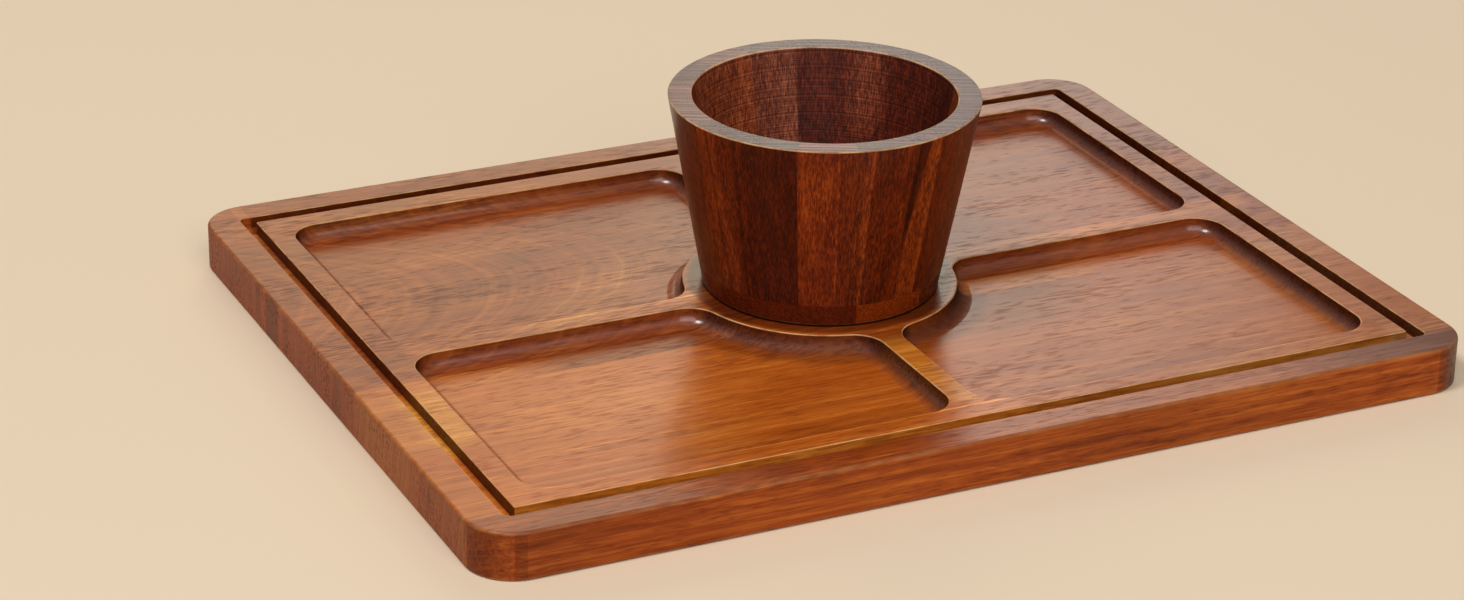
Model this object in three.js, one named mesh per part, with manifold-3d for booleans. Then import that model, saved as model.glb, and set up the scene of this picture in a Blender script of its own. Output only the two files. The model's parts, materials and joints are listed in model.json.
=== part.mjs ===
// Chip and dip server: an edge-glued hardwood board with four compartments and a juice groove,
// and a separate coopered dip bowl that stands on the round platform in the board's middle.
// Millimetres, +Z up. The origin is the middle of the board's underside, the long side runs
// along X, and -Y is the front.
import * as THREE from "three";
import { mergeVertices } from "three/addons/utils/BufferGeometryUtils.js";
import Module from "manifold-3d";

// ---- driving dimensions: board
const BOARD_LENGTH = 400;
const BOARD_WIDTH = 306;
const BOARD_THICKNESS = 18.6;
const BOARD_CORNER_RADIUS = 18;
const BOARD_EDGE_EASE = 1.2;

const RIM_WIDTH = 13.4; // from the board's edge to the juice groove
const GROOVE_WIDTH = 5.4;
const GROOVE_DEPTH = 4.8;
const GROOVE_CUTTER_RADIUS = GROOVE_WIDTH / 2; // the outer corners keep the cutter's radius

// ---- driving dimensions: compartments
const COMPARTMENT_DEPTH = 6.5;
const COVE_RADIUS = 6; // where the walls run into the floor
const COMPARTMENT_CORNER_RADIUS = 12;
const SIDE_MARGIN = 9.2; // panel left between the groove and a compartment, left and right
const FRONT_MARGIN = 8.8;
const BACK_MARGIN = 10.8;
const DIVIDER_WIDTH = 9.3; // the ribs between neighbouring compartments
const PLATFORM_RADIUS = 53;
const PLATFORM_Y = -2.85; // the ribs cross, and the platform is centred, just in front of the middle

// ---- driving dimensions: bowl
const BOWL_HEIGHT = 76;
const BOWL_RIM_RADIUS = 59.5;
const BOWL_FOOT_RADIUS = 45.4;
const BOWL_WALL = 9.1; // measured level, at the rim
const BOWL_RIM_EASE = 0.6;
const BOWL_FOOT_EASE = 1.2;
const BASE_THICKNESS = 8.8; // the glued-up disc under the staves
const FLOOR_HEIGHT = 7.8; // the inside is turned a little way into the base disc
const INSIDE_COVE_RADIUS = 6;
const STAVE_COUNT = 16;
const FIRST_STAVE_ANGLE = 8.4; // degrees from +X to the joint where the first stave starts
const BASE_GRAIN_ANGLE = -117; // degrees from +X to the way the base strips run

// ---- glue-ups: the joints across each glued panel, from one side to the other
const BOARD_JOINTS_Y = [-137.5, -28];
const BASE_JOINTS = [-10.3, 13.7, 37.7]; // across the base disc's grain, from its middle
const GLUE_LINE = 0.1; // a bonded joint, and the hair line under the standing bowl

// ---- how finely round shapes are divided
const CORNER_SEGMENTS = 8;
const COVE_SEGMENTS = 4;
const EASE_SEGMENTS = 2;
const PLATFORM_SEGMENTS = 12;
const SEGMENTS_PER_STAVE = 8;

const CLEAR = 5; // how far a cutter reaches past what it cuts

const wasm = await Module();
wasm.setup();

// ---------------------------------------------------------------- solids

// A closed three.js geometry as a manifold-3d solid.
function toSolid(geometry) {
  const bare = geometry.clone();
  bare.deleteAttribute("normal");
  bare.deleteAttribute("uv");
  const merged = mergeVertices(bare, 1e-4);
  return new wasm.Manifold(
    new wasm.Mesh({
      numProp: 3,
      vertProperties: merged.attributes.position.array,
      triVerts: new Uint32Array(merged.index.array),
    }),
  );
}

// A solid back as a flat-shaded geometry.
function toGeometry(solid) {
  const { vertProperties, triVerts } = solid.getMesh();
  const indexed = new THREE.BufferGeometry()
    .setAttribute("position", new THREE.BufferAttribute(vertProperties, 3))
    .setIndex(new THREE.BufferAttribute(triVerts, 1));
  const geometry = indexed.toNonIndexed();
  geometry.computeVertexNormals();
  return geometry;
}

// A straight extrusion along +Z, from bottom to top.
function prism(shape, bottom, top) {
  const geometry = new THREE.ExtrudeGeometry(shape, {
    depth: top - bottom,
    bevelEnabled: false,
    curveSegments: CORNER_SEGMENTS,
  });
  return toSolid(geometry.translate(0, 0, bottom));
}

// The same with both its end edges rounded by radius, inside the shape's outline.
function roundedPrism(shape, bottom, top, radius, segments) {
  const geometry = new THREE.ExtrudeGeometry(shape, {
    depth: top - bottom - 2 * radius,
    bevelThickness: radius,
    bevelSize: radius,
    bevelOffset: -radius,
    bevelSegments: segments,
    curveSegments: CORNER_SEGMENTS,
  });
  return toSolid(geometry.translate(0, 0, bottom + radius));
}

// A turned solid about +Z. The profile is [radius, height] pairs, upwards along the outside.
function turned(profile) {
  const segments = STAVE_COUNT * SEGMENTS_PER_STAVE;
  const points = profile.map(([radius, height]) => new THREE.Vector2(radius, height));
  const geometry = new THREE.LatheGeometry(points, segments);
  geometry.rotateX(Math.PI / 2);
  // Every stave joint falls in the middle of a facet.
  const facet = 360 / segments;
  return toSolid(geometry.rotateZ(radians(FIRST_STAVE_ANGLE + facet / 2 - 90)));
}

function radians(degrees) {
  return (degrees * Math.PI) / 180;
}

// Points on an arc about centre, without its first one.
function arcPoints(centre, radius, from, to, segments) {
  return Array.from({ length: segments }, (_, i) => {
    const angle = from + ((to - from) * (i + 1)) / segments;
    return [centre[0] + radius * Math.cos(angle), centre[1] + radius * Math.sin(angle)];
  });
}

// ---------------------------------------------------------------- outlines

// A rectangle about the origin with round corners.
function roundedRectangle(length, width, radius) {
  const x = length / 2 - radius;
  const y = width / 2 - radius;
  const shape = new THREE.Shape();
  shape.absarc(x, y, radius, 0, Math.PI / 2);
  shape.absarc(-x, y, radius, Math.PI / 2, Math.PI);
  shape.absarc(-x, -y, radius, Math.PI, 1.5 * Math.PI);
  shape.absarc(x, -y, radius, 1.5 * Math.PI, 2 * Math.PI);
  shape.closePath();
  return shape;
}

// One compartment. u and v are measured out from the platform's centre along X and Y, so the
// same outline serves all four corners: three round corners, and a hollow arc about the platform.
function compartmentOutline(signX, signY, uFar, vFar) {
  const near = DIVIDER_WIDTH / 2;
  const r = COMPARTMENT_CORNER_RADIUS;
  // The small arcs touch a straight wall on one side and the platform's circle on the other.
  const along = Math.sqrt((PLATFORM_RADIUS + r) ** 2 - (near + r) ** 2);
  const turn = Math.atan2(near + r, along);
  const quarter = Math.PI / 2;
  const outline = [
    [uFar - r, near],
    ...arcPoints([uFar - r, near + r], r, -quarter, 0, CORNER_SEGMENTS),
    [uFar, vFar - r],
    ...arcPoints([uFar - r, vFar - r], r, 0, quarter, CORNER_SEGMENTS),
    [near + r, vFar],
    ...arcPoints([near + r, vFar - r], r, quarter, 2 * quarter, CORNER_SEGMENTS),
    [near, along],
    ...arcPoints([near + r, along], r, 2 * quarter, 3 * quarter - turn, CORNER_SEGMENTS),
    ...arcPoints([0, 0], PLATFORM_RADIUS, quarter - turn, turn, PLATFORM_SEGMENTS),
    ...arcPoints([along, near + r], r, 2 * quarter + turn, 3 * quarter, CORNER_SEGMENTS).slice(0, -1),
    [along, near],
  ];
  const points = outline.map(([u, v]) => new THREE.Vector2(signX * u, PLATFORM_Y + signY * v));
  return new THREE.Shape(points);
}

// ---------------------------------------------------------------- board

function makeBoard() {
  const outline = roundedRectangle(BOARD_LENGTH, BOARD_WIDTH, BOARD_CORNER_RADIUS);
  const blank = roundedPrism(outline, 0, BOARD_THICKNESS, BOARD_EDGE_EASE, EASE_SEGMENTS);

  const grooveLength = BOARD_LENGTH - 2 * RIM_WIDTH;
  const grooveWidth = BOARD_WIDTH - 2 * RIM_WIDTH;
  const groove = roundedRectangle(grooveLength, grooveWidth, GROOVE_CUTTER_RADIUS);
  const panelX = grooveLength / 2 - GROOVE_WIDTH;
  const panelY = grooveWidth / 2 - GROOVE_WIDTH;
  const panel = new THREE.Path();
  panel.moveTo(-panelX, -panelY);
  panel.lineTo(-panelX, panelY);
  panel.lineTo(panelX, panelY);
  panel.lineTo(panelX, -panelY);
  panel.closePath();
  groove.holes.push(panel);
  const grooveCut = prism(groove, BOARD_THICKNESS - GROOVE_DEPTH, BOARD_THICKNESS + CLEAR);

  let board = blank.subtract(grooveCut);
  const uFar = panelX - SIDE_MARGIN;
  const floor = BOARD_THICKNESS - COMPARTMENT_DEPTH;
  const sides = [
    { signY: -1, vFar: panelY + PLATFORM_Y - FRONT_MARGIN },
    { signY: 1, vFar: panelY - PLATFORM_Y - BACK_MARGIN },
  ];
  for (const { signY, vFar } of sides) {
    for (const signX of [-1, 1]) {
      const shape = compartmentOutline(signX, signY, uFar, vFar);
      const top = BOARD_THICKNESS + COVE_RADIUS + CLEAR;
      board = board.subtract(roundedPrism(shape, floor, top, COVE_RADIUS, COVE_SEGMENTS));
    }
  }
  return board;
}

// Straight pieces of a glued-up solid, cut where the joints are. The strips lie along the
// direction at angle degrees from +X, and the joints are measured across them.
function glueUp(solid, joints, angle) {
  const reach = BOARD_LENGTH;
  const bounds = [-reach, ...joints, reach];
  return bounds.slice(1).map((high, i) => {
    const low = bounds[i];
    const strip = new THREE.BoxGeometry(2 * reach, high - low - GLUE_LINE, reach);
    strip.translate(0, (low + high) / 2, 0).rotateZ(radians(angle));
    return solid.intersect(toSolid(strip));
  });
}

// ---------------------------------------------------------------- bowl

// The wall leans out by this much for each millimetre of height.
const LEAN = (BOWL_RIM_RADIUS - BOWL_FOOT_RADIUS) / BOWL_HEIGHT;

function outsideRadius(height) {
  return BOWL_FOOT_RADIUS + LEAN * height;
}

function insideRadius(height) {
  return outsideRadius(height) - BOWL_WALL;
}

// The cove between the bowl's floor and its inside wall, from the wall down to the floor,
// split where it crosses the joint between the staves and the base disc.
function insideCove() {
  const slant = Math.hypot(1, LEAN);
  const centreHeight = FLOOR_HEIGHT + INSIDE_COVE_RADIUS;
  const centre = [insideRadius(centreHeight) - INSIDE_COVE_RADIUS * slant, centreHeight];
  const atWall = -Math.atan(LEAN);
  const atJoint = -Math.asin((centreHeight - BASE_THICKNESS) / INSIDE_COVE_RADIUS);
  const atFloor = -Math.PI / 2;
  const wallEnd = arcPoints(centre, INSIDE_COVE_RADIUS, atWall, atWall, 1);
  const onStaves = arcPoints(centre, INSIDE_COVE_RADIUS, atWall, atJoint, COVE_SEGMENTS);
  const onBase = arcPoints(centre, INSIDE_COVE_RADIUS, atJoint, atFloor, COVE_SEGMENTS);
  return { onStaves: [...wallEnd, ...onStaves], onBase: [onStaves.at(-1), ...onBase] };
}

function makeStaveRing() {
  const bottom = BASE_THICKNESS + GLUE_LINE;
  const e = BOWL_RIM_EASE;
  const cove = insideCove().onStaves;
  const jointRadius = cove.at(-1)[0];
  const start = [outsideRadius(bottom), bottom];
  return turned([
    start,
    [outsideRadius(BOWL_HEIGHT - e), BOWL_HEIGHT - e],
    [outsideRadius(BOWL_HEIGHT) - e, BOWL_HEIGHT],
    [insideRadius(BOWL_HEIGHT) + e, BOWL_HEIGHT],
    [insideRadius(BOWL_HEIGHT - e), BOWL_HEIGHT - e],
    ...cove.slice(0, -1),
    [jointRadius, bottom],
    start,
  ]);
}

function makeBaseDisc() {
  const e = BOWL_FOOT_EASE;
  return turned([
    [0, 0],
    [BOWL_FOOT_RADIUS - e, 0],
    [outsideRadius(e), e],
    [outsideRadius(BASE_THICKNESS), BASE_THICKNESS],
    ...insideCove().onBase,
    [0, FLOOR_HEIGHT],
  ]);
}

// The staves: equal wedges of the ring, with flat radial joints.
function cutStaves(ring) {
  const half = Math.PI / STAVE_COUNT;
  const apex = GLUE_LINE / 2 / Math.sin(half);
  const reach = 2 * BOWL_RIM_RADIUS;
  const wedge = new THREE.Shape([
    new THREE.Vector2(apex, 0),
    new THREE.Vector2(apex + reach * Math.cos(half), -reach * Math.sin(half)),
    new THREE.Vector2(apex + reach * Math.cos(half), reach * Math.sin(half)),
  ]);
  const cutter = new THREE.ExtrudeGeometry(wedge, {
    depth: BOWL_HEIGHT + 2 * CLEAR,
    bevelEnabled: false,
  }).translate(0, 0, -CLEAR);
  return Array.from({ length: STAVE_COUNT }, (_, i) => {
    const middle = radians(FIRST_STAVE_ANGLE) + (2 * i + 1) * half;
    return ring.intersect(toSolid(cutter.clone().rotateZ(middle)));
  });
}

// ---------------------------------------------------------------- assembly

// Oiled acacia, from the palest sapwood streak to the darkest heartwood.
const WOOD = {
  amber: 0x9a5a2c,
  chestnut: 0x7d4221,
  russet: 0x68311a,
  walnut: 0x4d2113,
  mahogany: 0x5a2415,
};

function addPiece(group, name, solid, colour) {
  const material = new THREE.MeshStandardMaterial({
    color: WOOD[colour],
    roughness: 0.45,
    metalness: 0,
  });
  const mesh = new THREE.Mesh(toGeometry(solid), material);
  mesh.name = name;
  group.add(mesh);
}

const PLANKS = [
  { name: "front_edge_plank", colour: "russet" },
  { name: "front_plank", colour: "amber" },
  { name: "back_plank", colour: "chestnut" },
];
const BASE_COLOURS = ["russet", "walnut", "chestnut", "russet"];
const STAVE_COLOURS = [
  "mahogany", "mahogany", "mahogany", "chestnut", "chestnut", "russet", "mahogany", "russet",
  "mahogany", "walnut", "amber", "russet", "chestnut", "russet", "mahogany", "russet",
];

const board = new THREE.Group();
glueUp(makeBoard(), BOARD_JOINTS_Y, 0).forEach((solid, i) => {
  addPiece(board, PLANKS[i].name, solid, PLANKS[i].colour);
});

const bowl = new THREE.Group();
bowl.position.set(0, PLATFORM_Y, BOARD_THICKNESS + GLUE_LINE);
glueUp(makeBaseDisc(), BASE_JOINTS, BASE_GRAIN_ANGLE).forEach((solid, i) => {
  addPiece(bowl, `base_strip_${i + 1}`, solid, BASE_COLOURS[i]);
});
cutStaves(makeStaveRing()).forEach((solid, i) => {
  addPiece(bowl, `stave_${String(i + 1).padStart(2, "0")}`, solid, STAVE_COLOURS[i]);
});

const server = new THREE.Group();
server.add(board, bowl);

export default server;
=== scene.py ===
"""A chip and dip server: an edge-glued acacia board with four compartments and a juice groove,
and a coopered acacia dip bowl standing on its round platform. Metres, in the CAD model's frame."""

import json
import math

import bmesh
import bpy
from mathutils import Matrix, Vector


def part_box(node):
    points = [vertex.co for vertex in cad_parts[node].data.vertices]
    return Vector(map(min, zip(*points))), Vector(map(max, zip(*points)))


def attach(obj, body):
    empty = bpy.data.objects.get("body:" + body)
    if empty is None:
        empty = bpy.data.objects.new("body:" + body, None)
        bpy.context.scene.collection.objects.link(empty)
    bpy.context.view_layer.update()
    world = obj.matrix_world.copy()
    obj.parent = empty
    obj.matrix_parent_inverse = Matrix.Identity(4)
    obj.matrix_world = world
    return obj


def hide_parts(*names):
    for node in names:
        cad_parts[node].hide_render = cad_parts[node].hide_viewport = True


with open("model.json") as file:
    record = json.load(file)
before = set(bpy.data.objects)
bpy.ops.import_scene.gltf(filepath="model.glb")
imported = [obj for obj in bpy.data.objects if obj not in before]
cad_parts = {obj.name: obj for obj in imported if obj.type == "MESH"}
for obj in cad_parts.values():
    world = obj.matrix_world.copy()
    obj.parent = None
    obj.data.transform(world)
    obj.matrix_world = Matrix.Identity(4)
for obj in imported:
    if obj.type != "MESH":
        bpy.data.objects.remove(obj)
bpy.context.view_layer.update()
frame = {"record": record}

MM = 0.001


# ---------------------------------------------------------------- sizes
def union_box(nodes):
    boxes = [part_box(node) for node in nodes]
    low = Vector([min(box[0][axis] for box in boxes) for axis in range(3)])
    high = Vector([max(box[1][axis] for box in boxes) for axis in range(3)])
    return low, high


BODIES = frame["record"]["behaviour"]["bodies"]
PLANKS = ("front_edge_plank", "front_plank", "back_plank")
STAVES = sorted(node for node in BODIES["bowl"] if node.startswith("stave"))
STRIPS = sorted(node for node in BODIES["bowl"] if node.startswith("base_strip"))

_, board_high = union_box(BODIES["board"])
bowl_low, bowl_high = union_box(BODIES["bowl"])
THICKNESS = board_high.z
HALF_LENGTH = board_high.x
HALF_WIDTH = board_high.y

# board, as in the CAD model
CORNER_RADIUS = 18 * MM
BOARD_EASE = 1.2 * MM
RIM_WIDTH = 13.4 * MM
GROOVE_WIDTH = 5.4 * MM
GROOVE_DEPTH = 4.8 * MM
GROOVE_RADIUS = GROOVE_WIDTH / 2
GROOVE_FILLET = 0.5 * MM
GROOVE_EASE = 0.35 * MM
PANEL_CORNER = 0.8 * MM
COMPARTMENT_DEPTH = 6.5 * MM
COVE = 6 * MM
COMPARTMENT_CORNER = 12 * MM
RIM_EASE = 0.45 * MM
SIDE_MARGIN = 9.2 * MM
FRONT_MARGIN = 8.8 * MM
BACK_MARGIN = 10.8 * MM
RIB_WIDTH = 9.3 * MM
PLATFORM_RADIUS = 53 * MM

# bowl, as in the CAD model
AXIS_X = (bowl_low.x + bowl_high.x) / 2
AXIS_Y = (bowl_low.y + bowl_high.y) / 2
FOOT_Z = bowl_low.z
BOWL_AXIS = (AXIS_X, AXIS_Y, 0)
BOWL_HEIGHT = bowl_high.z - FOOT_Z
RIM_RADIUS = 59.5 * MM
FOOT_RADIUS = 45.4 * MM
LEAN = (RIM_RADIUS - FOOT_RADIUS) / BOWL_HEIGHT
WALL = 9.1 * MM
BOWL_RIM_EASE = 0.6 * MM
FOOT_EASE = 1.2 * MM
BASE_THICKNESS = 8.8 * MM
FLOOR_HEIGHT = 7.8 * MM
INSIDE_COVE = 6 * MM
FIRST_STAVE = math.radians(8.4)
STAVE_ANGLE = 2 * math.pi / len(STAVES)
BASE_GRAIN = math.radians(-117)
BASE_JOINTS = [-10.3 * MM, 13.7 * MM, 37.7 * MM]

# glue lines
JOINT_GAP = 0.03 * MM
BOARD_JOINTS = [
    (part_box(near)[1].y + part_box(far)[0].y) / 2 for near, far in zip(PLANKS, PLANKS[1:])
]

# how finely the meshes are divided: the longest straight run, and the faces along each curve
STRAIGHT_STEP = 10 * MM
EDGE_STEPS = 4
OUTER_EASE_STEPS = 6
COVE_STEPS = 14
WALL_STEPS = 8
BOWL_COVE_STEPS = 16
FOOT_EASE_STEPS = 6
BASE_EDGE_STEPS = 4
STAVE_STEPS = 12
DISC_STEPS = 128

# what the meshes tell the wood: how far an eased edge shows handling and a painted highlight, and
# how much painted shade darkens a hollow
LAYERS = ("worn", "groove", "cove")
OUTER_WEAR_AND_HIGHLIGHT = 0.2
EDGE_WEAR_AND_HIGHLIGHT = [0, 1, 1, 1, 0]
# painted shade: how dark a hollow is painted down its eased edge, and along the groove's foot
EDGE_SHADE = [0, 0, 0, 0.3, 0.8]
GROOVE_FOOT_SHADE = [1, 1, 0.95, 0.8, 0.55]


# ---------------------------------------------------------------- outlines
def arc(centre, radius, start, end, steps):
    """Points on an arc with their normals, both ends included. The normals point outwards, or
    to the centre where a negative radius makes the arc hollow."""
    points = []
    for i in range(steps + 1):
        angle = start + (end - start) * i / steps
        direction = Vector((math.cos(angle), math.sin(angle)))
        points.append((centre + abs(radius) * direction, direction * (1 if radius > 0 else -1)))
    return points


def straight(points):
    """The same closed outline with points added along its long straight runs."""
    filled = []
    for i, (point, normal) in enumerate(points):
        filled.append((point, normal))
        following, next_normal = points[(i + 1) % len(points)]
        length = (following - point).length
        if length > 1.5 * STRAIGHT_STEP and (normal - next_normal).length < 1e-3:
            count = round(length / STRAIGHT_STEP)
            for k in range(1, count):
                filled.append((point.lerp(following, k / count), normal))
    return filled


def rounded_rectangle(half_x, half_y, radius, steps):
    outline = []
    for quarter, (sign_x, sign_y) in enumerate(((1, 1), (-1, 1), (-1, -1), (1, -1))):
        centre = Vector((sign_x * (half_x - radius), sign_y * (half_y - radius)))
        start = quarter * math.pi / 2
        outline += arc(centre, radius, start, start + math.pi / 2, steps)
    return outline


def compartment(sign_x, sign_y, far_x, far_y, steps):
    """A compartment's rim: five round corners and a hollow arc about the platform. far_x and
    far_y are its far sides, measured from the platform's middle."""
    near, corner = RIB_WIDTH / 2, COMPARTMENT_CORNER
    along = math.sqrt((PLATFORM_RADIUS + corner) ** 2 - (near + corner) ** 2)
    turn = math.atan2(near + corner, along)
    quarter = math.pi / 2
    outline = arc(Vector((far_x - corner, near + corner)), corner, -quarter, 0, steps)
    outline += arc(Vector((far_x - corner, far_y - corner)), corner, 0, quarter, steps)
    outline += arc(Vector((near + corner, far_y - corner)), corner, quarter, 2 * quarter, steps)
    outline += arc(
        Vector((near + corner, along)), corner, 2 * quarter, 3 * quarter - turn, steps
    )
    hollow = arc(Vector((0, 0)), -PLATFORM_RADIUS, quarter - turn, turn, 2 * steps)
    outline += hollow[1:-1]
    outline += arc(
        Vector((along, near + corner)), corner, 2 * quarter + turn, 3 * quarter, steps
    )
    placed = [
        (
            Vector((sign_x * point.x, AXIS_Y + sign_y * point.y)),
            Vector((sign_x * normal.x, sign_y * normal.y)),
        )
        for point, normal in outline
    ]
    return placed if sign_x * sign_y > 0 else placed[::-1]


# ---------------------------------------------------------------- meshes
def bend(start, end, steps):
    """(offset, height) pairs of a quarter circle from start, which it leaves level, to end."""
    (x0, z0), (x1, z1) = start, end
    return [
        (
            x0 + (x1 - x0) * math.sin(i / steps * math.pi / 2),
            z1 + (z0 - z1) * math.cos(i / steps * math.pi / 2),
        )
        for i in range(steps + 1)
    ]


def hollow_profile(ease, depth, foot, foot_steps):
    """(offset, height) pairs down into a hollow in the board's top: its eased edge, and the curve
    of radius foot between its wall and its floor."""
    edge = bend((0, 0), (ease, ease), EDGE_STEPS)
    curve = bend((foot, 0), (0, foot), foot_steps)
    floor = THICKNESS - depth
    profile = [(ease - x, THICKNESS - z) for x, z in edge]
    return profile + [(-x, floor + z) for x, z in reversed(curve)]


def surface_layers(bm):
    """The vertex layers that the wood reads: edges that handling wears and that get a painted
    highlight, and the juice groove and the coves of the compartments, which get painted shade."""
    return {name: bm.verts.layers.float.new(name) for name in LAYERS}


def add_rings(bm, layers, outline, profile, **shares):
    """Bands of faces that follow outline. profile is (offset, height) pairs, and shares gives
    each ring's value for a vertex layer. Returns the first and the last ring."""
    rings = []
    for k, (offset, height) in enumerate(profile):
        ring = [
            bm.verts.new((p.x + n.x * offset, p.y + n.y * offset, height)) for p, n in outline
        ]
        for name, values in shares.items():
            for vert in ring:
                vert[layers[name]] = values[k]
        rings.append(ring)
    for low, high in zip(rings, rings[1:]):
        for i in range(len(outline)):
            j = (i + 1) % len(outline)
            bm.faces.new((low[i], low[j], high[j], high[i]))
    return rings[0], rings[-1]


def ring_edges(bm, ring):
    return [bm.edges.get((ring[i], ring[(i + 1) % len(ring)])) for i in range(len(ring))]


def fill(bm, rings, up):
    edges = [edge for ring in rings for edge in ring_edges(bm, ring)]
    bmesh.ops.triangle_fill(bm, edges=edges, use_beauty=True, normal=(0, 0, up))


def board_mesh():
    """The whole board as one closed shell, before its glue lines divide it."""
    bm = bmesh.new()
    layers = surface_layers(bm)

    outer = straight(rounded_rectangle(HALF_LENGTH, HALF_WIDTH, CORNER_RADIUS, steps=24))
    side = bend((-BOARD_EASE, 0), (0, BOARD_EASE), OUTER_EASE_STEPS)
    side += [(x, THICKNESS - z) for x, z in reversed(side)]
    wear_and_highlight_values = [0] + [OUTER_WEAR_AND_HIGHLIGHT] * (OUTER_EASE_STEPS - 1) + [0]
    bottom_ring, rim_ring = add_rings(bm, layers, outer, side, worn=wear_and_highlight_values + wear_and_highlight_values)

    groove_x, groove_y = HALF_LENGTH - RIM_WIDTH, HALF_WIDTH - RIM_WIDTH
    panel_x, panel_y = groove_x - GROOVE_WIDTH, groove_y - GROOVE_WIDTH
    down = hollow_profile(GROOVE_EASE, GROOVE_DEPTH, GROOVE_FILLET, EDGE_STEPS)
    up = [(-x, z) for x, z in down]
    wear_and_highlight_values = EDGE_WEAR_AND_HIGHLIGHT + [0] * (EDGE_STEPS + 1)
    shade = EDGE_SHADE + GROOVE_FOOT_SHADE
    far = straight(rounded_rectangle(groove_x, groove_y, GROOVE_RADIUS, steps=10))
    far_top, far_floor = add_rings(bm, layers, far, down, worn=wear_and_highlight_values, groove=shade)
    near = straight(rounded_rectangle(panel_x, panel_y, PANEL_CORNER, steps=5))
    near_top, near_floor = add_rings(bm, layers, near, up, worn=wear_and_highlight_values, groove=shade)

    rims = []
    dish = hollow_profile(RIM_EASE, COMPARTMENT_DEPTH, COVE, COVE_STEPS)
    wear_and_highlight_values = EDGE_WEAR_AND_HIGHLIGHT + [0] * (COVE_STEPS + 1)
    shade = EDGE_SHADE + [1 - (k / COVE_STEPS) ** 4 for k in range(COVE_STEPS + 1)]
    far_x = panel_x - SIDE_MARGIN
    front = (-1, panel_y + AXIS_Y - FRONT_MARGIN)
    back = (1, panel_y - AXIS_Y - BACK_MARGIN)
    for sign_y, far_y in (front, back):
        for sign_x in (-1, 1):
            outline = straight(compartment(sign_x, sign_y, far_x, far_y, steps=16))
            rim, floor_ring = add_rings(bm, layers, outline, dish, worn=wear_and_highlight_values, cove=shade)
            rims.append(rim)
            fill(bm, [floor_ring], 1)

    fill(bm, [bottom_ring], -1)
    fill(bm, [rim_ring, far_top], 1)
    fill(bm, [far_floor, near_floor], 1)
    fill(bm, [near_top, *rims], 1)
    bmesh.ops.recalc_face_normals(bm, faces=bm.faces)
    return bm


def slab(source, point, normal, low, high):
    """A copy of source between two parallel glue lines, closed where they cut it. low and high
    are their distances from point along normal, or None where there is no glue line."""
    bm = source.copy()
    for joint, keep in ((low, 1), (high, -1)):
        if joint is None:
            continue
        plane = Vector(point) + Vector(normal) * (joint + keep * JOINT_GAP / 2)
        bmesh.ops.bisect_plane(
            bm,
            geom=bm.verts[:] + bm.edges[:] + bm.faces[:],
            dist=1e-8,
            plane_co=plane,
            plane_no=Vector(normal) * -keep,
            clear_outer=True,
        )
        open_edges = [edge for edge in bm.edges if edge.is_boundary]
        bmesh.ops.triangle_fill(
            bm, edges=open_edges, use_beauty=True, normal=Vector(normal) * -keep
        )
    bmesh.ops.recalc_face_normals(bm, faces=bm.faces)
    return bm


def outside(height):
    return FOOT_RADIUS + LEAN * height


def inside(height):
    return outside(height) - WALL


def levels(low, high, steps):
    return [low + (high - low) * k / steps for k in range(steps + 1)]


def inside_cove(steps):
    """(radius, height) pairs of the cove between the wall and the floor, from the wall down."""
    slant = math.hypot(1, LEAN)
    centre_z = FLOOR_HEIGHT + INSIDE_COVE
    centre_r = inside(centre_z) - INSIDE_COVE * slant
    start = -math.atan(LEAN)
    return [
        (
            centre_r + INSIDE_COVE * math.cos(start + (-math.pi / 2 - start) * i / steps),
            centre_z + INSIDE_COVE * math.sin(start + (-math.pi / 2 - start) * i / steps),
        )
        for i in range(steps + 1)
    ]


def cove_split(height):
    """The cove above and below a level, with a point on the level in both."""
    cove = inside_cove(BOWL_COVE_STEPS)
    for i, (a, b) in enumerate(zip(cove, cove[1:])):
        if a[1] >= height > b[1]:
            share = (a[1] - height) / (a[1] - b[1])
            at = (a[0] + (b[0] - a[0]) * share, height)
            return cove[: i + 1] + [at], [at] + cove[i + 1 :]
    raise ValueError("the level misses the cove")


def bowl_vertex(bm, worn_layer, angle, radius, height, worn):
    """A vertex at an angle round the bowl's axis, a radius from it, and a height above the foot."""
    vert = bm.verts.new(
        (AXIS_X + radius * math.cos(angle), AXIS_Y + radius * math.sin(angle), FOOT_Z + height)
    )
    vert[worn_layer] = worn
    return vert


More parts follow.
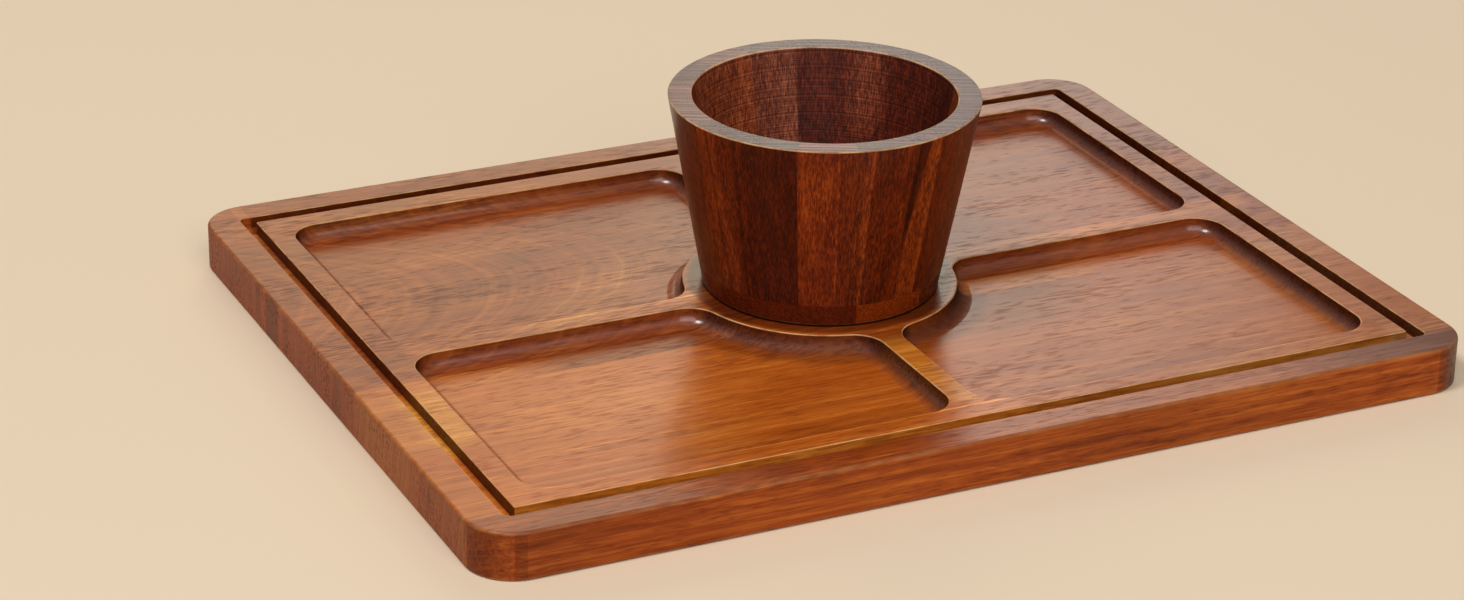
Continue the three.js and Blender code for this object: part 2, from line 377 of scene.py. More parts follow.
def stave_mesh(start_angle):
    """One stave: its section swept round the bowl's axis between two flat joint faces."""
    bm = bmesh.new()
    worn_layer = surface_layers(bm)["worn"]
    ease = BOWL_RIM_EASE
    foot = BASE_THICKNESS + JOINT_GAP
    shoulder = BOWL_HEIGHT - ease
    cove, _ = cove_split(foot)

    # (radius, height, handling and painted highlight) up the outside, over the rim's two eased edges
    # and down the inside
    section = [(outside(z), z, 0) for z in levels(foot, shoulder, WALL_STEPS)]
    for k in range(1, EDGE_STEPS + 1):
        angle = k / EDGE_STEPS * math.pi / 2
        z = shoulder + ease * math.sin(angle)
        section.append((outside(z) - ease + ease * math.cos(angle), z, EDGE_WEAR_AND_HIGHLIGHT[k]))
    for k in range(EDGE_STEPS + 1):
        angle = k / EDGE_STEPS * math.pi / 2
        z = shoulder + ease * math.cos(angle)
        section.append((inside(z) + ease - ease * math.sin(angle), z, EDGE_WEAR_AND_HIGHLIGHT[k]))
    inner_levels = levels(cove[0][1], shoulder, WALL_STEPS)
    section += [(inside(z), z, 0) for z in reversed(inner_levels[1:-1])]
    section += [(radius, z, 0) for radius, z in cove]

    rings = []
    for k in range(STAVE_STEPS + 1):
        ring = []
        for radius, height, worn in section:
            trim = math.asin(JOINT_GAP / 2 / radius)
            first, final = start_angle + trim, start_angle + STAVE_ANGLE - trim
            angle = first + (final - first) * k / STAVE_STEPS
            ring.append(bowl_vertex(bm, worn_layer, angle, radius, height, worn))
        rings.append(ring)
    for a, b in zip(rings, rings[1:]):
        for i in range(len(section)):
            j = (i + 1) % len(section)
            bm.faces.new((a[i], b[i], b[j], a[j]))
    for ring in (rings[0], rings[-1]):
        bm.faces.new(ring)
    bmesh.ops.recalc_face_normals(bm, faces=bm.faces)
    return bm


def disc_mesh():
    """The bowl's base disc, turned, before its glue lines divide it."""
    bm = bmesh.new()
    worn_layer = surface_layers(bm)["worn"]
    ease = FOOT_EASE

    # (radius, height, handling and painted highlight) round the foot's eased edge, up the side and
    # in along the cove
    section = []
    for k in range(FOOT_EASE_STEPS + 1):
        angle = k / FOOT_EASE_STEPS * math.pi / 2
        z = ease - ease * math.cos(angle)
        worn = OUTER_WEAR_AND_HIGHLIGHT if 0 < k < FOOT_EASE_STEPS else 0
        section.append((outside(z) - ease + ease * math.sin(angle), z, worn))
    section += [(outside(z), z, 0) for z in levels(0, BASE_THICKNESS, BASE_EDGE_STEPS)[1:]]
    section += [(radius, z, 0) for radius, z in cove_split(BASE_THICKNESS)[1]]

    rings = []
    for radius, height, worn in section:
        angles = [2 * math.pi * i / DISC_STEPS for i in range(DISC_STEPS)]
        rings.append([bowl_vertex(bm, worn_layer, a, radius, height, worn) for a in angles])
    for a, b in zip(rings, rings[1:]):
        for i in range(DISC_STEPS):
            j = (i + 1) % DISC_STEPS
            bm.faces.new((a[i], a[j], b[j], b[i]))
    bm.faces.new(rings[0])
    bm.faces.new(rings[-1])
    bmesh.ops.recalc_face_normals(bm, faces=bm.faces)
    return bm


# ---------------------------------------------------------------- materials
class Nodes:
    """A material's node tree, built by small calls that each return an output socket."""

    def __init__(self, name):
        self.material = bpy.data.materials.new(name)
        self.material.use_nodes = True
        self.tree = self.material.node_tree
        self.tree.nodes.clear()

    def add(self, kind, inputs=None, **settings):
        """Unlike the other calls, this one returns the node."""
        node = self.tree.nodes.new("ShaderNode" + kind)
        for key, value in settings.items():
            setattr(node, key, value)
        for key, value in (inputs or {}).items():
            if isinstance(value, bpy.types.NodeSocket):
                self.tree.links.new(value, node.inputs[key])
            else:
                node.inputs[key].default_value = value
        return node

    def math(self, operation, a, b=0.0, c=0.0):
        return self.add("Math", {0: a, 1: b, 2: c}, operation=operation).outputs[0]

    def times(self, product, *factors):
        for factor in factors:
            product = self.math("MULTIPLY", product, factor)
        return product

    def vector(self, operation, a, b=(0, 0, 0)):
        return self.add("VectorMath", {0: a, 1: b}, operation=operation).outputs[0]

    def span(self, value, low, high, to_low=0.0, to_high=1.0, smooth=False):
        node = self.add(
            "MapRange",
            {"Value": value, "From Min": low, "From Max": high, "To Min": to_low, "To Max": to_high},
            interpolation_type="SMOOTHSTEP" if smooth else "LINEAR",
        )
        return node.outputs[0]

    def noise(self, vector, scale=1.0, detail=2.0, rough=0.5, distortion=0.0):
        node = self.add(
            "TexNoise",
            {
                "Vector": vector,
                "Scale": scale,
                "Detail": detail,
                "Roughness": rough,
                "Distortion": distortion,
            },
        )
        return node.outputs[0]

    def line_noise(self, value, scale=1.0, detail=2.0, rough=0.5):
        node = self.add(
            "TexNoise",
            {"W": value, "Scale": scale, "Detail": detail, "Roughness": rough},
            noise_dimensions="1D",
        )
        return node.outputs[0]

    def ramp(self, value, stops):
        node = self.add("ValToRGB", {"Fac": value})
        elements = node.color_ramp.elements
        while len(elements) < len(stops):
            elements.new(0.5)
        for element, (position, colour) in zip(elements, stops):
            element.position = position
            element.color = (*colour, 1)
        return node.outputs[0]

    def mix(self, share, a, b, blend="MIX"):
        node = self.add("Mix", data_type="RGBA", blend_type=blend)
        for socket, value in ((node.inputs[0], share), (node.inputs[6], a), (node.inputs[7], b)):
            if isinstance(value, bpy.types.NodeSocket):
                self.tree.links.new(value, socket)
            elif isinstance(value, tuple):
                socket.default_value = (*value, 1)
            else:
                socket.default_value = value
        return node.outputs[2]

    def tint(self, share, colour, tone):
        """The colour, multiplied by tone as far as share says."""
        return self.mix(share, colour, tone, "MULTIPLY")

    def layer(self, name):
        """One of the mesh's vertex layers."""
        return self.add("Attribute", attribute_name=name, attribute_type="GEOMETRY").outputs["Fac"]

    def split(self, vector):
        return self.add("SeparateXYZ", {0: vector}).outputs

    def join(self, x, y, z):
        return self.add("CombineXYZ", {0: x, 1: y, 2: z}).outputs[0]


def srgb(red, green, blue):
    """A colour given as 0 to 255 values, as linear values."""

    def linear(value):
        value /= 255
        return value / 12.92 if value <= 0.04045 else ((value + 0.055) / 1.055) ** 2.4

    return linear(red), linear(green), linear(blue)


def grain_space(n, origin, turn, upright):
    """Object coordinates turned so that X runs along the fibres. Returns that vector and the
    object-space normal, turned with it."""
    here = n.add("TexCoord")
    point, normal = here.outputs["Object"], here.outputs["Normal"]
    point = n.add(
        "Mapping",
        {"Vector": point, "Location": origin, "Rotation": (0, 0, turn)},
        vector_type="TEXTURE",
    ).outputs[0]
    normal = n.add(
        "Mapping", {"Vector": normal, "Rotation": (0, 0, -turn)}, vector_type="NORMAL"
    ).outputs[0]
    if upright:  # X is then up, Y round the axis and Z out from it
        p, q = n.split(point), n.split(normal)
        point, normal = n.join(p[2], p[1], p[0]), n.join(q[2], q[1], q[0])
    return point, normal


def stretched(n, point, along, across):
    """The point scaled by one number along the fibres and another across them."""
    return n.vector("MULTIPLY", point, (along, across, across))


# Marks in the wood. Each is a function that returns a mask from the grain-space point and a
# noise that breaks up its edge. All sizes are in millimetres.
def band(low, high, soft, slant=0.0, along=None, fade=20):
    """A stripe along the fibres between two places across them. slant turns it, and along gives
    the two places where it fades out."""

    def mask(n, point, wobble):
        x, y, _ = n.split(point)
        y = n.math("MULTIPLY_ADD", x, slant, y)
        y = n.math("ADD", y, n.span(wobble, 0, 1, -soft * MM, soft * MM))
        half = soft * MM / 2
        stripe = n.times(
            n.span(y, low * MM - half, low * MM + half, smooth=True),
            n.span(y, high * MM - half, high * MM + half, 1, 0, smooth=True),
        )
        if along is None:
            return stripe
        first, last = along[0] * MM, along[1] * MM
        run = n.times(
            n.span(x, first - fade * MM, first + fade * MM, smooth=True),
            n.span(x, last - fade * MM, last + fade * MM, 1, 0, smooth=True),
        )
        return n.times(stripe, run)

    return mask


def patch(x, y, turn, long, wide, core=0.25, rim=1.15, wander=0.5, hole=None):
    """An oval, turned by some degrees from the fibres. It is whole out to core and gone at rim, in
    parts of its half length and half width. wander breaks up its edge, and hole leaves out its
    middle."""

    def mask(n, point, wobble):
        local = n.add(
            "Mapping",
            {
                "Vector": point,
                "Location": (x * MM, y * MM, 0),
                "Rotation": (0, 0, math.radians(turn)),
                "Scale": (long * MM, wide * MM, 1),
            },
            vector_type="TEXTURE",
        ).outputs[0]
        flat = n.vector("MULTIPLY", local, (1, 1, 0))
        away = n.add("VectorMath", {0: flat}, operation="LENGTH").outputs["Value"]
        away = n.math("ADD", away, n.span(wobble, 0, 1, -wander, wander))
        oval = n.span(away, core, rim, 1, 0, smooth=True)
        if hole is None:
            return oval
        return n.times(oval, n.span(away, hole - 0.01, hole + 0.01))

    return mask


def platform_patch(radius, core, rim, wander, hole=None):
    """A round patch about the platform's middle."""
    return patch(0, AXIS_Y / MM, 0, radius, radius, core, rim, wander, hole)


# tones that multiply the wood's own colour
PORE_TONE = (0.35, 0.22, 0.16)
FLECK_TONE = (1.6, 1.7, 2.0)
END_LINE_TONE = (0.28, 0.27, 0.28)
# the tone of the painted shade in the hollows, which their end grain also takes up as real colour
SHADE_AND_STAIN_TONE = (0.16, 0.1, 0.11)
# the turning rings on the bowl's inside; these tones multiply it mostly by more than one, so they
# also paint it lighter and greyer as painted light
LIT_TURNED_DARK = (0.95, 1.2, 1.8)
LIT_TURNED_LIGHT = (1.9, 2.65, 4.1)

# eased edges are lightened towards this colour, as handling marks and as a painted highlight
RUBBED_AND_LIT_COLOUR = (0.74, 0.46, 0.2)
FLECK_SHARE = 0.25
RING_SWAY = 8 * MM

# the wood's roughness from fibre to fibre, and what its other parts add to it
SMOOTHEST, ROUGHEST = 0.265, 0.35
PORE_ROUGH = 0.12
END_ROUGH = 0.12
WORN_ROUGH = 0.25
HOLLOW_ROUGH = 0.25
TURNED_ROUGH = 0.16

# the varnish: its weight as a film and as a pool, its roughness, and what a pool adds to that
THIN_FILM, THICK_FILM = 0.06, 0.11
POOLED_COAT = 0.88
COAT_ROUGH = 0.13
POOLED_ROUGH = 0.12

WOOD_IOR = 1.35
VARNISH_IOR = 1.65
BUMP_STRENGTH = 0.22
BUMP_HEIGHT = 0.12 * MM


def growth_rings(n, point, moved, figure, ring_angle, ring_scale):
    """The ring coordinate, and the rings as values about 0. Without a figure they are slightly
    wavy sheets along the fibres."""
    if figure is None:
        _, y, z = n.split(moved)
        tilt = math.radians(ring_angle)
        ring = n.math("ADD", n.times(y, math.sin(tilt)), n.times(z, math.cos(tilt)))
        strength = 1.0
    else:
        ring, strength = figure(n, point)
    sway = n.span(n.noise(stretched(n, moved, 7, 22), 1, 3), 0, 1, -RING_SWAY, RING_SWAY)
    rings = n.line_noise(n.math("ADD", ring, sway), ring_scale, 4, 0.6)
    return ring, n.times(n.math("SUBTRACT", rings, 0.5), strength)


def varnish(n, fibre, worn, cove, hollow, flatness, dull):
    """The coat's weight and roughness. It is a thin film where the wood is neither worn nor
    hollowed, and a pool on the slopes of the coves, but not where they are dull."""
    pooled = n.times(
        n.span(cove, 0.5, 1, 0, POOLED_COAT),
        n.span(flatness, 0.4, 0.65),
        n.span(flatness, 0.9, 0.98, 1, 0.2),
    )
    if dull is not None:
        pooled = n.times(pooled, n.span(dull, 0, 1, 1, 0))
    film = n.times(
        n.span(fibre, 0.3, 0.7, THIN_FILM, THICK_FILM),
        n.span(worn, 0, 0.5, 1, 0),
        n.span(hollow, 0, 1, 1, 0),
    )
    weight = n.math("ADD", pooled, film)
    return weight, n.math("MULTIPLY_ADD", pooled, POOLED_ROUGH, COAT_ROUGH)


def acacia(
    name,
    colours,
    seed,
    origin=(0, 0, 0),
    turn=0.0,
    upright=False,
    figure=None,
    ring_angle=70.0,
    ring_scale=260.0,
    ring_share=0.25,
    streak_share=0.28,
    fibre_share=0.4,
    mottle_share=0.3,
    fibre_size=(60, 1300),
    pore_size=(125, 780),
    pore_share=0.35,
    marks=(),
    end_blend="MULTIPLY",
    end_colour=(0.5, 0.4, 0.36),
    end_share=0.6,
    groove_shade=0.9,
    unshaded=None,
    cove_shade=0.4,
    bare=None,
    turned_and_lit_inside=False,
    inside_painted_light=(),
):
    """Oiled and satin-varnished acacia. colours is (dark, middle, light), figure(n, point) gives
    the ring coordinate and the strength of a figured board, marks are (mask, tone, share), and
    the marks that paint light and shade on the bowl's inside alone take the same form. bare is a
    mask where the coves stay dull, and the unshaded mask one where the groove gets no painted shade."""
    n = Nodes(name)
    point, normal = grain_space(n, origin, turn, upright)
    moved = n.vector("ADD", point, (seed * 0.31, seed * 0.17, seed * 0.23))
    height = n.split(point)[0]
    along, _, outward = n.split(normal)
    flatness = n.math("ABSOLUTE", outward)
    worn, groove, cove = [n.layer(layer) for layer in LAYERS]
    hollow = n.span(cove, 0, 0.15)

    # textures, from broad figure to fine pores
    ring, rings = growth_rings(n, point, moved, figure, ring_angle, ring_scale)
    streak = n.noise(stretched(n, moved, 8, 330), 1, 3, 0.6)
    fibre = n.noise(stretched(n, moved, *fibre_size), 1, 3, 0.65)
    mottle = n.noise(stretched(n, moved, 12, 30), 1, 3, 0.6, 0.3)
    thick = n.noise(stretched(n, moved, 11, 60), 1, 2, 0.5)
    pore = n.noise(stretched(n, moved, *pore_size), 1, 2, 0.5)
    pores = n.span(n.math("MULTIPLY_ADD", thick, 0.45, pore), 0.78, 0.9, smooth=True)
    flecks = n.span(n.math("MULTIPLY_ADD", thick, -0.4, pore), 0.22, 0.1, smooth=True)
    ends = n.span(n.math("ABSOLUTE", along), 0.35, 0.95, smooth=True)
    if upright:  # only the rim shows open end grain
        ends = n.times(ends, n.span(height, 50 * MM, 70 * MM))

    value = n.times(rings, ring_share * 2)
    for texture, share in ((streak, streak_share), (fibre, fibre_share), (mottle, mottle_share)):
        value = n.math("MULTIPLY_ADD", n.math("SUBTRACT", texture, 0.5), share * 2, value)
    value = n.math("MULTIPLY_ADD", value, n.span(ends, 0, 1, 1, 0.5), 0.5)
    dark, middle, light = colours
    colour = n.ramp(value, [(0.14, dark), (0.5, middle), (0.86, light)])
    for mask, tone, share in marks:
        colour = n.tint(n.times(mask(n, point, mottle), share), colour, tone)
    colour = n.tint(n.times(pores, pore_share), colour, PORE_TONE)
    colour = n.tint(n.times(flecks, FLECK_SHARE), colour, FLECK_TONE)

    # end grain has a tone of its own, with darker lines along the rings
    lines = n.line_noise(n.math("MULTIPLY_ADD", mottle, 2 * MM, ring), 560, 3, 0.6)
    end_tone = n.mix(1.0 if end_blend == "MULTIPLY" else 0.7, colour, end_colour, end_blend)
    end_tone = n.tint(n.span(lines, 0.4, 0.62), end_tone, END_LINE_TONE)
    colour = n.mix(n.times(ends, end_share), colour, end_tone)

    # painted shade darkens the groove and the coves, and darkens their end grain in full, as end
    # grain also soaks up more colour
    patchy = n.span(fibre, 0.35, 0.65, 0.7, 1)
    if unshaded is not None:
        groove = n.times(groove, n.span(unshaded(n, point, mottle), 0, 1, 1, 0.1))
    for deep, shade in ((groove, groove_shade), (cove, cove_shade)):
        shade_and_stain = n.times(deep, n.span(ends, 0, 1, shade, 1))
        colour = n.tint(n.times(shade_and_stain, patchy), colour, SHADE_AND_STAIN_TONE)

    relief = n.math("SUBTRACT", n.times(fibre, 0.5), pores)
    # the bowl's inside: turning rings, and painted light that makes it lighter and greyer, with a
    # painted sheen and lighter and darker staves
    if turned_and_lit_inside:  # the turning tool leaves rings
        inner = n.span(outward, -0.6, -0.3, 1, 0, smooth=True)
        trace = n.line_noise(n.math("MULTIPLY_ADD", mottle, 0.5 * MM, height), 1300, 3, 0.6)
        colour = n.tint(inner, colour, n.mix(n.span(trace, 0.41, 0.6), LIT_TURNED_DARK, LIT_TURNED_LIGHT))
        for mask, tone, share in inside_painted_light:
            colour = n.tint(n.times(mask(n, point, mottle), inner, share), colour, tone)
        relief = n.math("MULTIPLY_ADD", n.times(inner, trace), 3.0, relief)

    # handling makes the eased edges lighter, and the same lightening paints a highlight along them
    rubbed_and_lit = n.times(worn, n.span(n.noise(moved, 160, 2), 0.35, 0.62, 0.35, 0.9))
    colour = n.mix(rubbed_and_lit, colour, n.mix(0.7, colour, RUBBED_AND_LIT_COLOUR))

    # the router leaves the coves rough
    rough_cut = n.times(cove, n.noise(moved, 420, 2, 0.6))
    relief = n.math("MULTIPLY_ADD", rough_cut, 5.0, relief)
    roughness = n.span(fibre, 0.25, 0.75, SMOOTHEST, ROUGHEST)
    parts = [(pores, PORE_ROUGH), (ends, END_ROUGH), (worn, WORN_ROUGH), (hollow, HOLLOW_ROUGH)]
    if turned_and_lit_inside:
        parts.append((inner, TURNED_ROUGH))
    for part, extra in parts:
        roughness = n.math("MULTIPLY_ADD", part, extra, roughness)

    # sawn and sanded sides shine less than the varnished top
    side_shine = n.span(flatness, 0.2, 0.8, 0.5 if upright else 0.2, 0.5)
    dull = None if bare is None else bare(n, point, mottle)
    coat_weight, coat_roughness = varnish(n, fibre, worn, cove, hollow, flatness, dull)
    bump = n.add(
        "Bump", {"Strength": BUMP_STRENGTH, "Distance": BUMP_HEIGHT, "Height": relief}
    )
    shader = n.add(
        "BsdfPrincipled",
        {
            "Base Color": colour,
            "Roughness": roughness,
            "IOR": WOOD_IOR,
            "Specular IOR Level": side_shine,
            "Normal": bump.outputs[0],
            "Coat Weight": coat_weight,
            "Coat Roughness": coat_roughness,
            "Coat IOR": VARNISH_IOR,
        },
    )
    n.add("OutputMaterial", {"Surface": shader.outputs[0]})
    return n.material


# dark, middle and light colours of the woods
BOARD_PALE = (srgb(142, 60, 9), srgb(176, 86, 22), srgb(205, 118, 43))
BOARD_BROWN = (srgb(99, 37, 11), srgb(142, 62, 18), srgb(176, 94, 34))
BOARD_DARK = (srgb(101, 36, 8), srgb(148, 65, 15), srgb(184, 96, 32))
STAVE_DARK = (srgb(40, 6, 1), srgb(64, 13, 2), srgb(88, 26, 6))
STAVE_RED = (srgb(60, 14, 2), srgb(91, 28, 4), srgb(120, 44, 10))
STAVE_ORANGE = (srgb(82, 22, 2), srgb(110, 36, 4), srgb(138, 56, 12))
STAVE_BROWN = (srgb(62, 18, 5), srgb(90, 34, 9), srgb(118, 52, 18))

# tones that a mark multiplies the wood's own colour by
DARKER = (0.5, 0.42, 0.42)
DEEPER = (0.2, 0.12, 0.1)
PURPLE = (0.5, 0.48, 0.62)
DULLER = (0.68, 0.7, 1.0)
LIGHTER = (1.1, 1.36, 1.6)
YELLOWER = (1.3, 1.9, 2.2)
PALER = (1.6, 2.1, 2.3)
GREYER = (0.5, 0.95, 5.0)
BRIGHTER = (2.0, 2.6, 2.6)

SWIRL_MIDDLE = 62 * MM
SWIRL_CURVE = 17


def swirl(n, point):
    """The ring coordinate of a flat-sawn swirl, and its strength: nested arches that open
    towards -X and fade to straight grain on the right."""
    x, y, _ = n.split(point)
    up = n.math("SUBTRACT", y, SWIRL_MIDDLE)
    ring = n.math("MULTIPLY_ADD", n.times(up, up), SWIRL_CURVE, x)
    return ring, n.span(x, -90 * MM, 30 * MM, 1, 0.25, smooth=True)


# painted shade of the bowl on its round platform
PLATFORM_SHADE = platform_patch(PLATFORM_RADIUS / MM, 0.94, 1.0, 0.03)
# painted shade of the bowl on the wood round its platform
PLATFORM_SURROUND_SHADE = platform_patch(68, 0.9, 1.0, 0.05, hole=0.78)
DULL_COVES = platform_patch(72, 0.85, 1.0, 0.05)
# painted contact shadow: a dark ring where the bowl's foot stands
FOOT_SHADOW_RING = platform_patch(45.9, 0.98, 1.005, 0.008, hole=0.94)
LEFT_GROOVE_FLOOR = band(-400, 400, 1, along=(-400, -181.5), fade=0.15)
# painted light across the left groove
LEFT_GROOVE_PAINTED_LIGHT = band(-400, 400, 1, along=(-186.8, -182.2), fade=0.3)
# marks on both planks: painted light on the left groove, and the bowl's painted shade on its
# platform, laid on twice
SHARED_MARKS = [
    (LEFT_GROOVE_PAINTED_LIGHT, BRIGHTER, 0.3),
    (PLATFORM_SHADE, DARKER, 1.0),
    (PLATFORM_SHADE, DARKER, 0.65),
]

# places on a plank are measured from the board's middle
PLANK_MATERIALS = {
    "front_edge_plank": acacia(
        "acacia_front_edge", BOARD_DARK, 1.0, ring_angle=20, streak_share=0.45, groove_shade=0.6,
        unshaded=LEFT_GROOVE_FLOOR,
        marks=[
            (band(-155, -135, 1, along=(-400, -155), fade=10), DULLER, 0.4),
            (band(-155, -135, 1, along=(20, 130), fade=40), LIGHTER, 0.6),
            (band(-152, -135, 0.3, along=(125, 400), fade=45), GREYER, 0.8),
            (band(-152.5, -140, 0.8, along=(165, 400), fade=30), PURPLE, 0.6),
            # painted shade on the front edge's eased top and bottom
            (band(-152.9, -151.9, 0.05), DARKER, 0.5),
        ],
    ),
    "front_plank": acacia(
        "acacia_front", BOARD_PALE, 2.0, ring_angle=75, groove_shade=0.1, cove_shade=0.75,
        unshaded=LEFT_GROOVE_FLOOR, bare=DULL_COVES,
        marks=[
            (band(-88, -30, 8, along=(-400, -95), fade=50), LIGHTER, 0.4),
            (band(-84, -38, 6, along=(-188, -171), fade=4), YELLOWER, 1.0),
            (band(-84, -38, 6, along=(-400, -186), fade=4), LIGHTER, 0.5),
            (band(-138, -95, 8, along=(-400, -186), fade=3), DARKER, 0.25),
            (band(-120, -62, 5, along=(-6, 6), fade=1.5), YELLOWER, 0.95),
            # painted highlight along the front edge of the front compartments
            (band(-126.0, -124.7, 0.3, along=(-165, 165), fade=6), BRIGHTER, 0.85),
            (band(-138, -28, 1, along=(174, 400), fade=2), GREYER, 0.25),
            (band(-138, -28, 1, along=(174, 400), fade=2), PALER, 0.25),
            (band(-138, -125.6, 0.3, along=(90, 400), fade=15), LIGHTER, 0.5),
            (band(-134.8, -133.9, 0.3), YELLOWER, 0.7),
            (band(-95, -91, 1.5, along=(-150, 60)), DARKER, 0.3),
            (band(-114, -107, 2, along=(-180, 120)), DARKER, 0.3),
            (band(-120, -88, 5, along=(-105, -80), fade=15), LIGHTER, 0.6),
            (band(-62, -50, 5, along=(40, 150)), DARKER, 0.25),
            (band(-138, -28, 1, along=(20, 400), fade=40), DULLER, 0.8),
            *SHARED_MARKS,
            # painted shade of the bowl round its platform
            (PLATFORM_SURROUND_SHADE, DARKER, 0.85),
            # painted contact shadow under the bowl's foot
            (FOOT_SHADOW_RING, DEEPER, 0.95),
        ],
    ),
    "back_plank": acacia(
        "acacia_back", BOARD_BROWN, 3.0, figure=swirl, ring_scale=170, ring_share=0.3,
        mottle_share=0.35, pore_share=0.5, unshaded=LEFT_GROOVE_FLOOR, end_colour=(1.0, 0.85, 0.25),
        marks=[
            (patch(-130, 50, 20, 50, 24), DARKER, 0.55),
            (patch(-80, 28, 46, 62, 18), YELLOWER, 0.7),
            (patch(-125, 128, 0, 80, 9), YELLOWER, 0.8),
            (band(-28, 150, 1, along=(165, 400), fade=15), DARKER, 0.3),
            (patch(-135, 95, -8, 60, 18), LIGHTER, 0.6),
            (patch(-180, 80, 0, 12, 50), LIGHTER, 0.6),
            (patch(190, 140, 0, 30, 20), DARKER, 0.35),
            # painted reflection: the strip just in front of the rib is made paler
            (band(-28, -15, 1.5, along=(-170, 150)), PALER, 0.45),
            (band(-7.5, 6, 1, along=(-170, 194), fade=3), PALER, 0.4),
            # painted highlight along the front edge of the back compartments
            (band(1.3, 2.3, 0.2, along=(-165, 165), fade=6), BRIGHTER, 0.5),
            # more painted reflection on that strip, at its left end and right of the bowl
            (band(-28, -15, 1.5, along=(-170, -130), fade=10), PALER, 0.4),
            (band(-28, -15, 1.5, along=(50, 105), fade=15), PALER, 0.6),
            (band(-4, 6, 1, along=(-130, 194), fade=6), PALER, 0.55),
            (band(60, 200, 10, along=(60, 400)), DULLER, 0.5),
            (band(-29, -13, 2, along=(-118, -50), fade=8), PURPLE, 0.5),
            (band(-14, -6, 4, along=(-300, -165)), PURPLE, 0.4),
            *SHARED_MARKS,
            # painted contact shadow under the bowl's foot
            (FOOT_SHADOW_RING, DEEPER, 0.95),
        ],
    ),
}

STAVE_COLOURS = {
    1: STAVE_DARK, 2: STAVE_DARK, 3: STAVE_DARK, 4: STAVE_BROWN, 5: STAVE_BROWN, 6: STAVE_BROWN,
    7: STAVE_RED, 8: STAVE_BROWN, 9: STAVE_RED, 10: STAVE_DARK, 11: STAVE_ORANGE,
    12: STAVE_RED, 13: STAVE_RED, 14: STAVE_BROWN, 15: STAVE_RED, 16: STAVE_DARK,
}

# places on a stave are its height above the table, and the distance across it from its middle
STAVE_MARKS = {
    4: [(band(9, 12, 1), BRIGHTER, 0.35)],
    6: [(band(2, 5, 2), LIGHTER, 0.6)],
    8: [(band(-20, 20, 1), DARKER, 0.5), (band(7, 8.5, 1), BRIGHTER, 0.3)],
    9: [
        (band(-20, 20, 1), DARKER, 0.25),
        (band(-3.5, 6, 2.5, slant=0.06), BRIGHTER, 0.6),
        (band(-0.5, 1.0, 1, slant=0.05), DARKER, 0.8),
        (band(-10, -8.8, 0.6), BRIGHTER, 0.4),
        (band(5.6, 7.2, 1.2, slant=-0.03), DEEPER, 0.6),
    ],
    10: [(band(-9.6, -8.4, 0.8, slant=0.02), BRIGHTER, 0.35), (band(-4, 4, 4), LIGHTER, 0.4)],
    11: [
        (patch(78, -5, 0, 30, 7), BRIGHTER, 0.3),
        (band(3.7, 4.5, 0.4), BRIGHTER, 0.4),
        (band(4.5, 14, 0.6), DARKER, 0.4),
    ],
    12: [
        (band(-20, -4.8, 0.8, slant=0.006), BRIGHTER, 0.6),
        (band(-20, -5.1, 1.2, slant=0.047), DARKER, 0.75),
        (band(-8.2, -7.4, 0.6, slant=0.03), BRIGHTER, 0.3),
        (band(-5.9, -5.2, 0.5, slant=0.006), BRIGHTER, 0.3),
        (band(7.5, 9, 0.8), BRIGHTER, 0.2),
    ],
    13: [
        (band(-20, 0.2, 0.5, slant=-0.016), BRIGHTER, 0.8),
        (band(-2.4, 0.2, 0.8, slant=-0.016), BRIGHTER, 0.25),
        (band(-20, -14.6, 2.4, slant=-0.114), DEEPER, 0.9),
        (band(-20, -8.4, 0.6), DARKER, 0.7),
        (band(0.9, 3.4, 0.8), DARKER, 0.3),
    ],
    14: [(band(-5, -2, 2), LIGHTER, 0.6), (patch(86, -10, 0, 12, 4), BRIGHTER, 0.3)],
}
WHOLE_STAVE = band(-20, 20, 1)
# painted light and shade on the bowl's inside: a painted sheen high on stave 2, lighter insides on
# staves 3 to 6, a darker one on stave 16
STAVE_INSIDE_PAINTED_LIGHT = {
    2: [(patch(82, 1, 0, 26, 11), (2.4, 4.2, 6.5), 0.75)],
    3: [(WHOLE_STAVE, (1.25, 1.3, 1.3), 1.0)],
    4: [(WHOLE_STAVE, (1.3, 1.4, 2.4), 0.8)],
    5: [(WHOLE_STAVE, (1.75, 1.6, 1.8), 0.8)],
    6: [(WHOLE_STAVE, (1.7, 1.5, 1.6), 0.8)],
    16: [(WHOLE_STAVE, (0.7, 0.7, 0.8), 1.0)],
}
RIM_LINES = -26.0  # degrees round from +X, of the end-grain lines on every stave
RIM_GREY = (0.22, 0.14, 0.145)
RIM_PINK = (0.36, 0.185, 0.175)
PINK_STAVES = (5, 7, 8, 11)
STRIP_COLOURS = (STAVE_RED, STAVE_RED, STAVE_ORANGE, STAVE_BROWN)
# painted light: the third base strip is made brighter, where it gets less light
STRIP_PAINTED_LIGHT = [(band(14, 38, 1), BRIGHTER, 0.5)]


# ---------------------------------------------------------------- pieces
SMOOTH_ANGLE = math.radians(38)


def make_piece(name, bm, body, nodes, material):
    """An object that rides its body, and stands for the nodes of the CAD model."""
    for face in bm.faces:
        face.smooth = True
    for edge in bm.edges:
        edge.smooth = edge.is_manifold and edge.calc_face_angle(0) < SMOOTH_ANGLE
    mesh = bpy.data.meshes.new(name)
    bm.to_mesh(mesh)
    bm.free()
    piece = bpy.data.objects.new(name, mesh)
    bpy.context.scene.collection.objects.link(piece)
    normals = piece.modifiers.new("flat faces stay flat", "WEIGHTED_NORMAL")
    normals.keep_sharp = True
    normals.weight = 100
    mesh.materials.append(material)
    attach(piece, body)
    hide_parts(*nodes)


def between(joints):
    """The two glue lines beside each piece, None at the outer edges."""
    return zip([None, *joints], [*joints, None])


